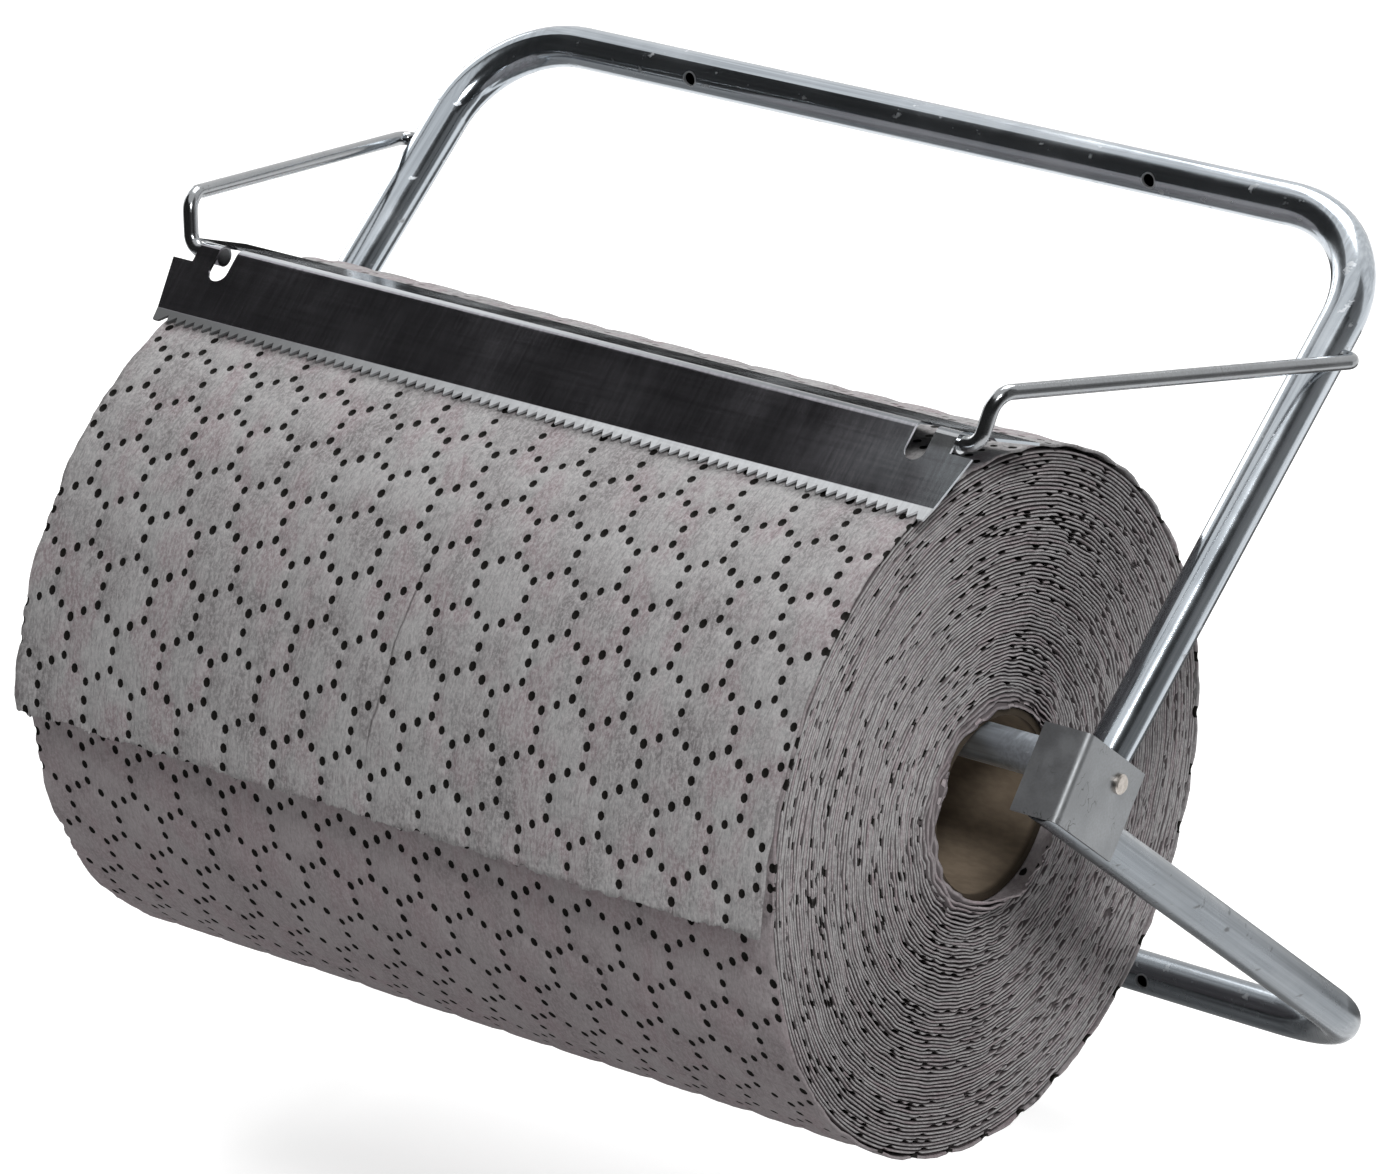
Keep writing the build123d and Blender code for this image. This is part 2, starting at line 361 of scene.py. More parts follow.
def tube_finish(name, tone, slope, rough, grain_depth):
    """Zinc-plated drawn tube: lines along it, cloudy sheen, fine crystals and a few scuffs."""
    made = Shader(name, metallic=1.0)
    place = made.place()
    lines = drawn_lines(made, place, slope)
    cloud = made.noise(place, 18.0, detail=5.0, roughness=0.65)
    grain = made.noise(place, 1100.0, detail=2.0)
    scuff = made.band(made.noise(made.stretch(place, (140, 90, 220)), 1.0, detail=6.0), 0.64, 0.72)
    scuff = made.math("MAXIMUM", scuff, hole_rim(made, place))
    colour = made.mix(made.band(lines, 0.28, 0.72), grey(tone * 0.72, -0.09), grey(tone, -0.08))
    colour = made.mix(made.band(cloud, 0.45, 0.75, 0.0, 0.5), colour, grey(tone * 1.18, -0.06))
    colour = made.mix(made.math("MULTIPLY", scuff, 0.5), colour, grey(tone * 0.8, 0.0))
    dull = made.band(cloud, 0.3, 0.75, rough * 0.7, rough * 1.3)
    made.set(base_color=colour, roughness=made.math("ADD", dull, made.math("MULTIPLY", scuff, 0.4)))
    made.bump(made.blend(0.45, lines, grain), grain_depth)
    return made.material


def sheet_steel(name, tone, rough, wear):
    """Zinc plate on sheet and wire: fine grain, soft clouds, and hairline cracks where it is worn."""
    made = Shader(name, metallic=1.0)
    place = made.place()
    grain = made.noise(place, 900.0, detail=3.0)
    cloud = made.noise(place, 45.0, detail=4.0, roughness=0.6)
    worn = made.band(made.noise(place, 75.0, detail=2.0), 0.52, 0.62, 0.0, wear)
    hair = made.math("ABSOLUTE", made.math("SUBTRACT", made.noise(place, 150.0, detail=2.0), 0.5))
    crack = made.math("MULTIPLY", made.band(hair, 0.003, 0.014, 1.0, 0.0), worn)
    colour = made.mix(made.band(grain, 0.3, 0.7), grey(tone * 0.9, -0.03), grey(tone, -0.04))
    colour = made.mix(made.band(cloud, 0.4, 0.7, 0.0, 0.5), colour, grey(tone * 1.12, -0.03))
    made.set(base_color=made.mix(crack, colour, grey(0.05, 0.05)))
    made.set(roughness=made.band(cloud, 0.3, 0.75, rough * 0.8, rough * 1.25))
    made.bump(made.blend(0.6, grain, crack), 0.015 * MM)
    return made.material


def rivet_finish():
    """Plated rivet with a dull warm cast."""
    made = Shader("rivet_plate", metallic=1.0)
    cloud = made.noise(made.place(), 500.0, detail=4.0)
    made.set(base_color=made.mix(made.band(cloud, 0.3, 0.7), grey(0.36, 0.1), grey(0.55, 0.07)))
    made.set(roughness=made.band(cloud, 0.3, 0.7, 0.28, 0.45))
    made.bump(cloud, 0.03 * MM)
    return made.material


def bar_finish():
    """Tear bar: polished faces with a faint upright grain, a painted highlight on the ridge, a painted
    reflection at the right end, and a pale strip of teeth; painted light darkens the strip at the left end
    and lightens the knuckle at the right.
    """
    made = Shader("bar_steel")
    place = made.place()
    grain = made.noise(made.stretch(place, (700, 40, 40)), 1.0, detail=5.0)
    cross = made.noise(made.stretch(place, (25, 600, 600)), 1.0, detail=4.0)
    cloud = made.noise(place, 24.0, detail=5.0, roughness=0.6)
    x = made.node("SeparateXYZ", {"Vector": place}).outputs["X"]
    down = made.along(place, plate_down)
    end = made.band(x, bar_half - haze_and_reflection_length, bar_half)
    # Painted light along the bar: 0 at its left end, 1 from a little right of the middle.
    painted_light_along_bar = made.band(x, -bar_half, 0.3 * bar_half)
    front = made.band(down, plate_from - bend_soft, plate_from + bend_soft)
    top = made.band(down, ridge_from - ridge_soft, ridge_from + ridge_soft)
    strip = made.band(down, strip_from, strip_from + bend_soft)
    weave = made.blend(0.4, grain, cross)
    dark = made.mix(made.band(weave, 0.3, 0.7), violet(0.29), violet(0.43))
    # Painted reflection: the plate's right end is painted a lighter blue-grey, and it is also rougher
    # there.
    painted_end_reflection = made.mix(made.band(weave, 0.3, 0.7), grey(0.32, -0.06), grey(0.46, -0.06))
    face = made.mix(made.math("MULTIPLY", end, made.band(cloud, 0.25, 0.6)), dark, painted_end_reflection)
    out = made.math("ABSOLUTE", x)
    knuckle = made.band(out, bar_half - knuckle_in, bar_half - knuckle_in + bend_soft)
    low_end = made.band(down, plate_from + knuckle_low, plate_from + knuckle_end, 1.0, 0.0)
    knuckle = made.math("MULTIPLY", knuckle, low_end)
    # Painted highlight on the rounded ridge: bright at the left, fading to dim at the right.
    painted_ridge_highlight = made.mix(made.band(x, -0.3 * bar_half, 0.8 * bar_half), grey(0.6, -0.04), grey(0.2, -0.06))
    ridge = made.mix(top, grey(0.4, -0.08), painted_ridge_highlight)
    # Painted highlight: the knuckle is painted lighter only where the painted light along the bar reaches.
    face = made.mix(made.math("MULTIPLY", knuckle, painted_light_along_bar), face, grey(0.48, -0.03))
    pale = made.mix(made.band(weave, 0.3, 0.7), grey(0.46, -0.03), grey(0.6, -0.03))
    # Painted shade: the strip of teeth is painted dark toward the bar's left end.
    pale = made.mix(painted_light_along_bar, grey(0.1, -0.03), pale)
    dull = made.band(cloud, 0.3, 0.75, 0.1, 0.2)
    hazed = made.math("SUBTRACT", end, knuckle)
    dull = made.math("ADD", dull, made.math("MULTIPLY", hazed, 0.09))
    made.set(base_color=made.mix(strip, made.mix(front, ridge, face), pale))
    fine = made.noise(made.stretch(place, (1500, 60, 60)), 1.0, detail=3.0)
    hairs = made.math("MULTIPLY", made.band(fine, 0.45, 0.7), made.band(cross, 0.35, 0.65, 0.3, 1.0))
    metal = made.math("SUBTRACT", 1.0, made.math("MULTIPLY", hairs, 0.035))
    made.set(roughness=made.blend(strip, dull, 0.45), metallic=made.blend(strip, metal, 0.3))
    made.bump(weave, 0.015 * MM)
    return made.material


def card():
    """Brown card of the core, with fibres along it, and painted shade: near-black at both ends, in the
    roll's mouth.
    """
    made = Shader("card_brown", metallic=0.0, specular_ior_level=0.2)
    place = made.place()
    fibre = made.noise(made.stretch(place, (160, 380, 380)), 1.0, detail=5.0)
    blot = made.noise(place, 30.0, detail=4.0)
    out = made.math("ABSOLUTE", made.node("SeparateXYZ", {"Vector": place}).outputs["X"])
    colour = made.mix(made.band(fibre, 0.3, 0.7), grey(0.14, 0.28), grey(0.18, 0.27))
    colour = made.mix(made.band(blot, 0.4, 0.7, 0.0, 0.4), colour, grey(0.1, 0.3))
    # Painted shade: the card is painted near-black over the last few millimetres at each end.
    end = made.band(out, half_width - card_shade_width, half_width)
    made.set(base_color=made.mix(end, colour, grey(0.045, 0.3)))
    made.set(roughness=made.band(fibre, 0.2, 0.8, 0.75, 0.95))
    made.bump(fibre, 0.1 * MM)
    return made.material


def crease_line(made, flat, down):
    """1 on a thin, slightly wavering crease that runs down the free flap."""
    wander = made.band(made.noise(flat, 40.0, detail=2.0), 0.2, 0.8, -crease_wander, crease_wander)
    off = made.math("SUBTRACT", made.along(flat, (1.0, crease_slope, 0.0)), crease_offset)
    off = made.math("ABSOLUTE", made.math("ADD", off, wander))
    near = made.band(off, crease_thin, crease_wide, 1.0, 0.0)
    start = made.band(down, crease_from, crease_from + crease_start)
    stop = made.band(down, crease_to - crease_stop, crease_to, 1.0, 0.0)
    return made.math("MULTIPLY", near, made.math("MULTIPLY", start, stop))


def nonwoven(name, shade, spot_from):
    """Grey-taupe fibre sheet: cloudy tone, felted fibres along the sheet, near-black pressed dots, and
    painted shade: in the crease, between the wound layers, and darker, rosier bounce light low on the roll.
    """
    made = Shader(name, metallic=0.0, specular_ior_level=0.12)
    flat = made.attribute("flat", "Vector")
    cloud = made.noise(flat, 25.0, detail=4.0, roughness=0.6)
    blush = made.noise(made.stretch(flat, (1, 0.6, 1)), 44.0, detail=3.0)
    streak = made.noise(made.stretch(flat, (75, 6, 30)), 1.0, detail=3.0)
    tuft = made.noise(made.stretch(flat, (1.6, 0.6, 1)), 150.0, detail=4.0, roughness=0.6)
    felt = made.noise(made.stretch(flat, (1.2, 0.8, 1)), 620.0, detail=5.0, roughness=0.7)
    fibre = made.noise(made.stretch(flat, (1000, 190, 60)), 1.0, detail=4.0, roughness=0.65)
    colour = made.mix(made.band(cloud, 0.36, 0.62), taupe(shade * 0.68), taupe(shade * 1.2, 0.0))
    colour = made.mix(made.band(blush, 0.47, 0.6, 0.0, 0.85), colour, taupe(shade * 0.82, 0.24))
    colour = made.mix(made.band(streak, 0.5, 0.72, 0.0, 0.5), colour, taupe(shade * 1.4, 0.0))
    colour = made.mix(made.band(tuft, 0.4, 0.66, 0.0, 0.6), colour, taupe(shade * 1.42, 0.02))
    colour = made.mix(made.band(felt, 0.42, 0.6, 0.0, 0.6), colour, taupe(shade * 1.65, 0.04))
    colour = made.mix(made.band(fibre, 0.48, 0.66, 0.0, 0.45), colour, taupe(shade * 0.55, 0.08))
    down = made.node("SeparateXYZ", {"Vector": flat}).outputs["Y"]
    # Painted shade and warm bounce light: darker and rosier from the front round the underside of the outer
    # layer, fading towards the back, and on the innermost turns of the wound strip.
    colour = made.mix(made.band(down, 0.65, 1.0, 0.45, 0.0), colour, taupe(shade * 0.85, 0.24))
    crease = crease_line(made, flat, down)
    # Painted shade: the crease is painted as a dark line.
    colour = made.mix(made.math("MULTIPLY", crease, 0.65), colour, taupe(shade * 0.4, 0.1))
    spot = made.math("ADD", made.attribute("dot"), made.band(felt, 0.2, 0.8, -0.14, 0.14))
    spot = made.band(spot, spot_from, spot_from + 0.25)
    # Painted shade between the wound layers, from the strip's painted gap shade marks.
    colour = made.mix(made.band(made.attribute("painted_gap_shade"), 0.3, 1.0), colour, taupe(shade * 0.33, 0.14))
    made.set(base_color=made.mix(spot, colour, grey(0.009, 0.12)))
    made.set(roughness=made.blend(spot, 0.95, 0.7))
    height = made.blend(0.5, made.blend(0.5, felt, fibre), tuft)
    made.bump(made.math("ADD", height, made.math("MULTIPLY", crease, 0.25)), 1.6 * MM)
    return made.material


# The sheet's winding

def outer_radius(angle):
    """Outer face of the outer layer, from its hidden start at lap_start to its free edge at lap_end."""
    turned = (angle - lap_start) / 360
    sag = sag_depth * exp(-(((angle - sag_angle) / sag_spread) ** 2))
    lift = max((angle - flap_angle) / (lap_end - flap_angle), 0.0)
    rise = lap_rise * smooth(angle, rise_from, rise_to)
    return lap_r + layer_pitch * turned + rise - sag + flap_lift * lift**2


def on_roll(x, radius, angle):
    """Point of the roll from its place along the axis, radius and angle; 90 is up and 180 the front."""
    return (x, roll_y + radius * cos(radians(angle)), roll_z + radius * sin(radians(angle)))


def row_at(angle):
    """Row of the honeycomb that lies at an angle of the outer layer."""
    if angle < row_blend_from:
        return (row_r_under * radians(angle) - row_start_under) / row_pitch_under
    if angle > row_blend_to:
        return (row_r_flap * radians(angle - 360) - row_start_flap) / cell_row + row_number_flap
    low, high = row_at(row_blend_from - row_near), row_at(row_blend_to + row_near)
    return low + (high - low) * (angle - row_blend_from) / (row_blend_to - row_blend_from)


def drift_at(angle):
    """Sideways shift of the honeycomb along the roll at an angle of the outer layer."""
    share = (angle - row_blend_from) / (row_blend_to - row_blend_from)
    return drift_under + drift_flap * min(max(share, 0.0), 1.0)


def dot_places():
    """Dots of one tile, two cells: the corners and the middles of the edges of the hexagons."""
    half, third = cell_width / 2, cell_row / 3
    one = [(half, 0.0), (half / 2, 1.5 * third), (1.5 * half, 1.5 * third), (half, third), (0.0, 2 * third)]
    two = [((x + half) % cell_width, y + cell_row) for x, y in one]
    return one + two


def dot_tile():
    """Points and triangles of one tile of the sheet; a dot is two rings of points round a middle one."""
    left, low = -cell_width / 8, -cell_row / 6
    columns, rows = tile_columns, tile_points
    step_x, step_y = cell_width / columns, 2 * cell_row / rows
    dots = [((x - left) % cell_width + left, (y - low) % (2 * cell_row) + low) for x, y in dot_places()]
    points, rings = [], []
    for i in range(columns + 1):
        for j in range(rows + 1):
            if i in (0, columns) or j in (0, rows):
                points.append((left + i * step_x, low + j * step_y))
    for i in range(columns):
        for j in range(rows - 1):
            spot = (i * step_x, j * step_y)
            if min(hypot(spot[0] - x, spot[1] - y) for x, y in dots) > cell_width / 16:
                points.append(spot)
    kinds = [-1] * len(points)
    for k, (x, y) in enumerate(dots):
        for ring, size in enumerate((1.0, dot_inner)):
            first = len(points)
            for side in range(dot_sides):
                turn = 2 * pi * (side + 0.5 * ring) / dot_sides
                aside, ahead = size * dot_half_width * cos(turn), size * dot_half_length * sin(turn)
                points.append((x + aside, y + ahead))
                kinds.append(k + ring * len(dots))
                rings.append((first + side, first + (side + 1) % dot_sides))
        points.append((x, y))
        kinds.append(k + 2 * len(dots))
    made = delaunay_2d_cdt([Vector(p) for p in points], rings, [], 0, tile_near)
    order = [source[0] for source in made[3]]
    faces = [tuple(order[v] for v in reversed(face)) for face in made[2]]
    return points, kinds, dots, faces


def flat_layer():
    """The outer layer before winding: points (along the roll, angle, height), dot marks and triangles."""
    points, kinds, dots, faces = dot_tile()
    chance = np.random.default_rng(dot_seed)
    angles = np.linspace(lap_start - angle_spare, lap_end + angle_spare, angle_steps)
    rows = np.array([row_at(angle) for angle in angles])
    reach = [min(hypot(x - u, y - v) for u, v in dots) for x, y in points]
    across = ceil(half_width / cell_width) + 2
    made, marks, index, triangles = [], [], {}, []
    for column in range(-across, across + 1):
        for row in tile_rows:
            size = chance.uniform(dot_size_low, 1.0, len(dots))
            push = chance.uniform(-dot_push, dot_push, (len(dots), 2)) * (1 - size[:, None])
            numbers = []
            for (x, y), kind, near in zip(points, kinds, reach):
                height, dark = cell_rise * smooth(near, dot_half_length, cell_edge), 0.0
                if kind >= 0:
                    k = kind % len(dots)
                    x = dots[k][0] + (x - dots[k][0]) * size[k] + push[k][0]
                    y = dots[k][1] + (y - dots[k][1]) * size[k] + push[k][1]
                    ring = kind // len(dots)
                    height = -dot_depth * size[k] * ring_depths[ring]
                    dark = min(ring, 1)
                place = (x + column * cell_width, y + row * 2 * cell_row)
                key = (round(place[0] * places_per_metre), round(place[1] * places_per_metre))
                if key not in index:
                    index[key] = len(made)
                    made.append((*place, height))
                    marks.append(dark)
                numbers.append(index[key])
            triangles += [tuple(numbers[v] for v in face) for face in faces]
    flat = np.array(made)
    turned_x = flat[:, 0] * cos(cell_turn) - flat[:, 1] * sin(cell_turn)
    turned_y = flat[:, 0] * sin(cell_turn) + flat[:, 1] * cos(cell_turn)
    angle = np.interp(turned_y / cell_row, rows, angles)
    drift = np.array([drift_at(a) for a in angle])
    return np.stack([turned_x + drift, angle, flat[:, 2]], axis=1), marks, triangles


def cut_layer(points, marks, triangles):
    """The flat layer cut off at the roll's two ends, its hidden start and its free edge."""
    mesh = bpy.data.meshes.new("cut")
    mesh.from_pydata([(x, angle * MM, height) for x, angle, height in points], [], triangles)
    mesh.attributes.new("dot", "FLOAT", "POINT").data.foreach_set("value", marks)
    shape = bmesh.new()
    shape.from_mesh(mesh)
    cuts = [((half_width, 0, 0), (1, 0, 0)), ((-half_width, 0, 0), (-1, 0, 0))]
    cuts += [((0, lap_end * MM, 0), (0, 1, 0)), ((0, lap_start * MM, 0), (0, -1, 0))]
    for place, facing in cuts:
        parts = shape.verts[:] + shape.edges[:] + shape.faces[:]
        bmesh.ops.bisect_plane(shape, geom=parts, plane_co=place, plane_no=facing, clear_outer=True)
    limit = (lap_end - free_edge_near) * MM
    free = [edge for edge in shape.edges if min(v.co.y for v in edge.verts) > limit]
    bmesh.ops.subdivide_edges(shape, edges=free, cuts=free_edge_cuts)
    bmesh.ops.triangulate(shape, faces=[face for face in shape.faces if len(face.verts) > 3])
    shape.to_mesh(mesh)
    shape.free()
    return mesh


def layer_height(x, angle):
    """How far the outer layer stands off its even winding: slow waves, more on the free flap."""
    slow = noise.noise(Vector((x * 7, angle * 0.022, 3.1)))
    fine = noise.noise(Vector((x * 24, angle * 0.075, 8.4)))
    free = smooth(angle, flap_angle, lap_end)
    above = smooth(angle, bar_from, bar_from + bar_blend)
    below = smooth(angle, bar_to - bar_blend, bar_to)
    calm = 1 - bar_calm * above * (1 - below)
    return calm * (wave_slow * slow + wave_fine * fine) + free * (flap_slow * slow + flap_fine * fine)


def build_outer_layer(finish):
    """The outer layer: dented dots, its lifted free edge in front, and the sheet's thickness."""
    mesh = cut_layer(*flat_layer())
    flat = np.array([tuple(v.co) for v in mesh.vertices])
    marks = [value.value for value in mesh.attributes["dot"].data]
    faces = [tuple(face.vertices) for face in mesh.polygons]
    bpy.data.meshes.remove(mesh)
    angles = flat[:, 1] / MM
    wound = []
    for (x, _, height), angle in zip(flat, angles):
        edge = smooth(angle, lap_end - fray_angle, lap_end)
        side = smooth(abs(x), half_width - fray_side, half_width)
        ragged = noise.noise(Vector((x * 160, 5.5, 0.0))) + 0.8 * noise.noise(Vector((x * 480, 1.5, 0.0)))
        frayed = noise.noise(Vector((angle * 0.4, 9.5, x)))
        radius = outer_radius(angle) + height + layer_height(x, angle)
        place = x * (1 + fray_out * side * frayed)
        wound.append(on_roll(place, radius, angle + fray_along * edge * ragged))
    piece = new_piece("roll_outer_layer", "roll", wound, faces, finish)
    mark(piece, "dot", marks)
    mark(piece, "flat", np.stack([flat[:, 0], np.radians(angles) * lap_r, np.zeros(len(flat))], axis=1))
    thick = piece.modifiers.new("thickness", "SOLIDIFY")
    thick.thickness = layer_t
    thick.offset = -1.0
    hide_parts("outer_wrap")


def dot_distance(x, along):
    """Distance from a place of the sheet to the nearest dot of its honeycomb, in half dots."""
    turned_x = x * cos(cell_turn) + along * sin(cell_turn)
    turned_y = -x * sin(cell_turn) + along * cos(cell_turn)
    best = 9.0
    for dot_x, dot_y in dot_places():
        off_x = (turned_x - dot_x + cell_width / 2) % cell_width - cell_width / 2
        off_y = (turned_y - dot_y + cell_row) % (2 * cell_row) - cell_row
        best = min(best, hypot(off_x / dot_half_width, off_y / dot_half_length))
    return best


def strip_stations():
    """Turns from the core at which the wound strip has a cross-section, evenly spaced along the sheet."""
    last_r = outer_radius(lap_start) - layer_t / 2
    turns = round((last_r - first_r) / layer_pitch)
    pitch = (last_r - first_r) / turns
    places, turn = [], 0.0
    while turn < turns:
        places.append(turn)
        turn += strip_step / (2 * pi * (first_r + pitch * turn))
    seam = sum(turn <= fold_turns for turn in places)
    places[seam:seam] = [fold_turns, fold_turns + seam_step]
    return places + [float(turns)], turns, pitch


def mouth_fold(angle):
    """1 where the loose inner turns stand out most, and 0 on the front side of the mouth."""
    turned = (angle + 180) % 360 - 180
    return smooth(turned, *fold_rise) * (1 - smooth(turned, *fold_fall))


def folded_faces(row, radius, along, fold, turn):
    """Inner and outer face of a loose lip, from just inside the core's end to the lip's own row."""
    root = half_width - fold_root
    rows = []
    # Painted gap shade on the folded lips; none on the inner face of the first turn.
    inner_painted_gap_shade = 0.0 if turn < 1 else 1.0
    for end, half, painted_gap_shade in ((row[0], -layer_t / 2, inner_painted_gap_shade), (row[-1], layer_t / 2, 1.0)):
        face = []
        for k in range(fold_steps):
            t = k / fold_steps
            x = root + (end[0] - root) * t
            r = radius + half + (end[1] - radius - half) * t**1.3
            spot = 1 - smooth(dot_distance(x, along), *spot_fade)
            face.append((x, r, spot * fold, painted_gap_shade * (1 - 0.85 * fold * t)))
        rows.append(face)
    return rows[0] + row + rows[1][::-1]


def strip_radius(turn, turns, pitch, angle, around, kink):
    """Middle of the wound strip: an even spiral that sags in front, with waves that fade at both ends."""
    share = turn / turns
    sag = sag_depth * exp(-((((angle - lap_start) % 360 + lap_start - sag_angle) / sag_spread) ** 2))
    wave = noise.noise(around * 2.6 + Vector((0, 0, turn * 0.11)))
    ripple = noise.noise(around * 8.0 + Vector((0, 0, turn * 0.16)))
    slack = noise.noise(around * 3.5 + Vector((0, 0, turn * 0.9)))
    loose = smooth(share, 0.0, 0.03) * (1 - smooth(share, 0.9, 1.0))
    bend = (0.6 + 1.6 * (1 - share) ** 3) * wave + 0.85 * ripple + 0.3 * kink + 0.13 * slack
    return first_r + pitch * turn - sag * share**1.5 + loose * bend * MM


def lip_row(side, turn, angle, around, along, radius, kink):
    """One end of a cross-section, inner face to outer: distance out, radius, dot mark and painted shade for
    the gap between layers.
    """
    size = 1 + 0.5 * noise.noise(around * 30 + Vector((side, 0, turn * 4.0)))
    away = dot_distance(side * half_width, along) / size
    spot = 1 - smooth(away, *spot_fade)
    tail = 1 - smooth(away, *tail_fade)
    slow = noise.noise(around * 1.3 + Vector((side * 5.0, 0, turn * 0.23)))
    uneven = noise.noise(around * 5.0 + Vector((side * 9.0, 0, turn * 1.7)))
    inner = max(1 - turn / fold_turns, 0.0) ** 1.5
    fold = inner * mouth_fold(angle) if side > 0 else 0.0
    crumpled = fold * (1 + 0.5 * uneven + 0.3 * kink)
    out = half_width + (0.7 * slow + 0.55 * uneven + inner * (1.6 + 1.3 * uneven)) * MM
    out += fold_out * crumpled
    lean = inner * (2.6 + 1.6 * uneven) * MM + fold_lean * crumpled
    drop = lean - min(0.4 * lean, 1.3 * MM)
    half_t = layer_t / 2
    # The last value is painted gap shade: 1 at the inner and outer corners of the edge, less where an inner
    # turn folds out.
    row = [(out - edge_round, radius - half_t - drop, 0.0, 1.0 - fold)]
    row.append((out - 0.9 * spot * MM, radius - lean - 0.7 * spot * half_t, tail, 0.0))
    dented = radius + half_t * (1 - 1.9 * spot) - drop
    row.append((out - edge_round - 1.6 * spot * MM, dented, spot, 1.0 - fold))
    if side > 0 and turn <= fold_turns:
        return folded_faces(row, radius, along, fold, turn)
    return row


def strip_faces(counts):
    """Faces round a strip from the sizes of its cross-sections; it is closed where the size changes."""
    faces, start = [], 0
    for size, group in groupby(counts):
        last = start + (len(list(group)) - 1) * size
        faces += [tuple(range(start, start + size)), tuple(reversed(range(last, last + size)))]
        for base in range(start, last, size):
            for k in range(size):
                n = (k + 1) % size
                faces.append((base + n, base + k, base + size + k, base + size + n))
        start = last + size
    return faces


def build_layers(finish):
    """The wound sheet under the outer layer: one long strip in a spiral, wavy and uneven at its edges."""
    places, turns, pitch = strip_stations()
    points, flat, spots, painted_gap_shades, counts = [], [], [], [], []
    for number, turn in enumerate(places):
        angle = lap_start + 360 * (turn - turns)
        around = Vector((cos(radians(angle)), sin(radians(angle)), 0))
        kink = noise.noise(around * 17.0 + Vector((0, 0, turn * 0.3)))
        radius = strip_radius(turn, turns, pitch, angle, around, kink)
        along = number * strip_step
        before = len(points)
        for side in (1, -1):
            row = lip_row(side, turn, angle, around, along, radius, kink)
            for x, r, dark, painted_gap_shade in row[::side]:
                points.append(on_roll(side * x, r, angle))
                flat.append((r, along, x))
                spots.append(dark)
                painted_gap_shades.append(painted_gap_shade)
        counts.append(len(points) - before)
    piece = new_piece("roll_layers", "roll", points, strip_faces(counts), finish)
    mark(piece, "dot", spots)
    # Painted shade between the layers, read by the sheet material.
    mark(piece, "painted_gap_shade", painted_gap_shades)
    mark(piece, "flat", flat)
    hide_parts("wound_roll")


# The stage: floor, background, lamps and camera

def seen_or_mirrored(nodes, links):
    """1 for rays from the camera and for mirrored or passed-through ones, 0 for the rest."""
    rays = nodes.new("ShaderNodeLightPath").outputs
    value = rays["Is Camera Ray"]
    for name in ("Is Glossy Ray", "Is Transmission Ray"):
        step = nodes.new("ShaderNodeMath")
        step.operation = "MAXIMUM"
        links.new(value, step.inputs[0])
        links.new(rays[name], step.inputs[1])
        value = step.outputs[0]
    return value


def stage_piece(name, vertices, faces, finish):
    """A flat piece of the stage."""
    mesh = bpy.data.meshes.new(name)
    mesh.from_pydata(vertices, [], faces)
    mesh.materials.append(finish)
    piece = bpy.data.objects.new(name, mesh)
    bpy.context.scene.collection.objects.link(piece)
    return piece


def build_floor():
    """White floor a little below the part, which hangs on a wall; it takes the part's shadow."""
    z = cad_low.z - floor_drop
    made = Shader("floor_pale", roughness=0.95, base_color=grey(0.62), specular_ior_level=0.0)
    made.set(emission_color=grey(1.0))
    seen = seen_or_mirrored(made.nodes, made.links)
    away = made.node("VectorMath", {0: made.place()}, operation="LENGTH").outputs["Value"]
    glow = made.band(away, glow_from, glow_to, floor_glow_near, floor_glow_far)
    made.set(emission_strength=made.math("MULTIPLY", seen, glow))
    corners = [(x * floor_half, y * floor_half, z) for x, y in ((-1, -1), (1, -1), (1, 1), (-1, 1))]
    stage_piece("floor", corners, [(0, 1, 2, 3)], made.material)


def lay_cloth(name, points, faces, tone):
    """Cloth that only shows in polished metal."""
    made = Shader(name, roughness=0.95, base_color=grey(tone), specular_ior_level=0.0)
    piece = stage_piece(name, points, faces, made.material)
    piece.visible_camera = False
    piece.visible_diffuse = False
    piece.visible_shadow = False


def lay_round(name, begin, stop, level, tone):
    """Cloth that stands round the part like a bowl, between two turns from the front."""
    profile = [(0.9, level), (3.0, level), (2.8, 1.6), (2.0, 2.8)]
    size = len(profile)
    turns = [radians(turn) for turn in range(begin, stop + 1, cloth_step)]
    points, faces = [], []
    for turn in turns:
        points += [(reach * sin(turn), cloth_middle - reach * cos(turn), rise) for reach, rise in profile]
    for base in range(0, (len(turns) - 1) * size, size):
        for i in range(base, base + size - 1):
            faces.append((i, i + 1, i + size + 1, i + size))
    lay_cloth(name, points, faces, tone)


def lay_flat(name, x_from, x_to, y_from, y_to, level, tone):
    """Cloth that lies just above the floor."""
    corners = [(x_from, y_from, level), (x_to, y_from, level), (x_to, y_to, level), (x_from, y_to, level)]
    lay_cloth(name, corners, [(0, 1, 2, 3)], tone)


def build_cloths():
    """Studio cloths that stand for a dim room: dark in front and behind, grey at the right and below."""
    level = cad_low.z - floor_drop + cloth_lift
    lay_round("front_cloth", -85, 95, level, 0.06)
    lay_round("right_cloth", 95, 125, level, 0.35)
    lay_flat("low_cloth", -0.7, 0.22, -1.0, 0.05, level, 0.32)
    lay_flat("rear_cloth", -2.6, -0.5, 0.6, 2.9, level, 0.015)
    lay_flat("side_cloth", -0.1, 0.42, 0.15, 0.8, level, 0.12)


def build_background():
    """White where it is seen or mirrored, and a calm grey light for the rest."""
    world = bpy.data.worlds.new("studio")
    world.use_nodes = True
    nodes, links = world.node_tree.nodes, world.node_tree.links
    level = nodes.new("ShaderNodeMapRange")
    level.inputs["To Min"].default_value = ambient_level
    level.inputs["To Max"].default_value = 1.0
    links.new(seen_or_mirrored(nodes, links), level.inputs["Value"])
    background = nodes["Background"]
    background.inputs["Color"].default_value = (1, 1, 1, 1)
    links.new(level.outputs["Result"], background.inputs["Strength"])
    bpy.context.scene.world = world


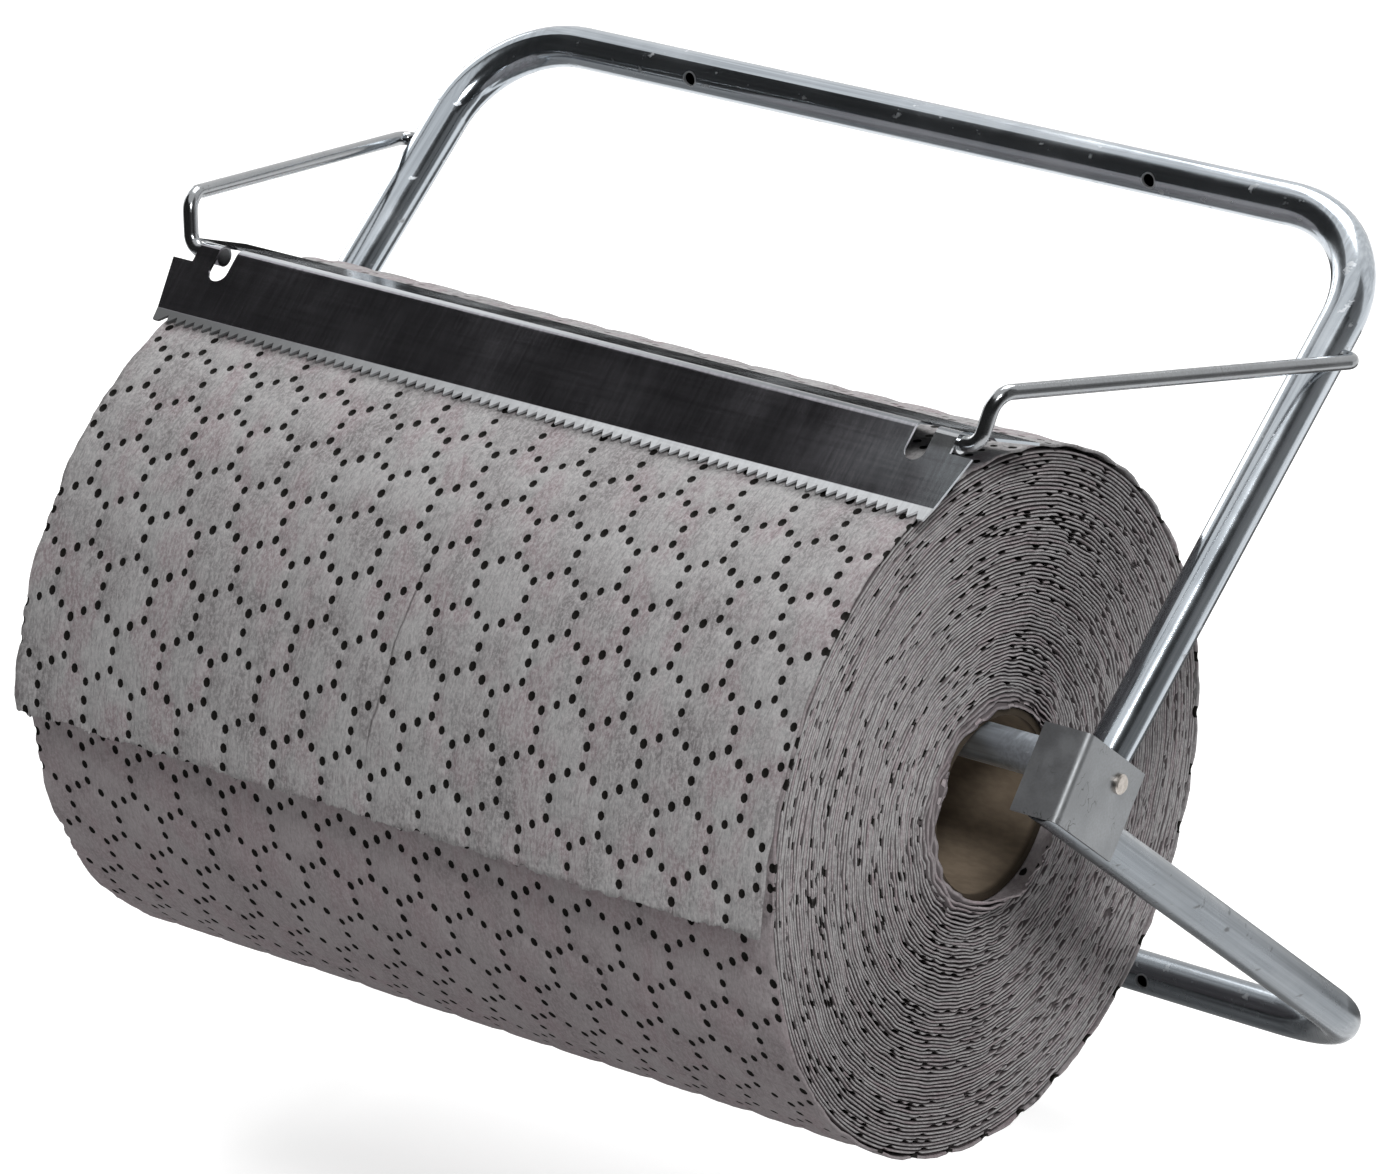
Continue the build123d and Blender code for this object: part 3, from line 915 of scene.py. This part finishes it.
def add_lamp(name, place, size, power):
    """Square soft box that faces the part."""
    lamp = bpy.data.lights.new(name, "AREA")
    lamp.size = size
    lamp.energy = power
    box = bpy.data.objects.new(name, lamp)
    box.location = place
    box.rotation_euler = (Vector(lamp_aim) - Vector(place)).to_track_quat("-Z", "Y").to_euler()
    bpy.context.scene.collection.objects.link(box)


def build_camera():
    """Camera at the photograph's place: turned right of the front and raised, with a small tilt."""
    turn, rise, tilt = radians(camera_turn), radians(camera_rise), radians(camera_tilt)
    back = Vector((sin(turn) * cos(rise), -cos(turn) * cos(rise), sin(rise)))
    right = (-back).cross(Vector((0, 0, 1))).normalized()
    up = right.cross(-back)
    right, up = right * cos(tilt) + up * sin(tilt), up * cos(tilt) - right * sin(tilt)
    data = bpy.data.cameras.new("camera")
    data.sensor_width = camera_sensor
    data.lens = camera_lens
    data.clip_end = camera_reach
    camera = bpy.data.objects.new("camera", data)
    camera.matrix_world = Matrix.Translation(camera_place) @ Matrix((right, up, back)).transposed().to_4x4()
    bpy.context.scene.collection.objects.link(camera)
    bpy.context.scene.camera = camera


def dress(finish, *nodes):
    """Gives a finish to nodes that keep their own shape."""
    for node in nodes:
        frame["nodes"][node].material_slots[0].material = finish


bpy.context.scene.view_settings.view_transform = "Standard"
build_camera()
build_background()
build_floor()
build_cloths()
add_lamp("key", (1.25, -1.1, 1.46), 0.53, 27.5)
add_lamp("top", (-0.4, 1.1, 2.0), 1.4, 48.0)
add_lamp("side", (-2.2, 0.5, 0.5), 1.2, 12.0)

dress(tube_finish("bright_zinc", 0.52, leg_line, 0.16, 0.02 * MM), "upper_frame")
dress(tube_finish("satin_zinc", 0.265, arm_line, 0.3, 0.015 * MM), "lower_frame")
dress(sheet_steel("bracket_zinc", 0.31, 0.5, 0.7), "left_bracket", "right_bracket")
dress(rivet_finish(), "left_rivet", "right_rivet")
dress(tube_finish("axle_zinc", 0.72, 0.0, 0.5, 0.05 * MM), "axle")
dress(sheet_steel("wire_zinc_plate", 0.31, 0.2, 0.3), "left_wire_arm", "right_wire_arm")
dress(bar_finish(), "tear_bar")
dress(card(), "card_core")
build_layers(nonwoven("sheet_edges", 0.335, 0.25))
build_outer_layer(nonwoven("sheet_face", 0.27, 0.15))
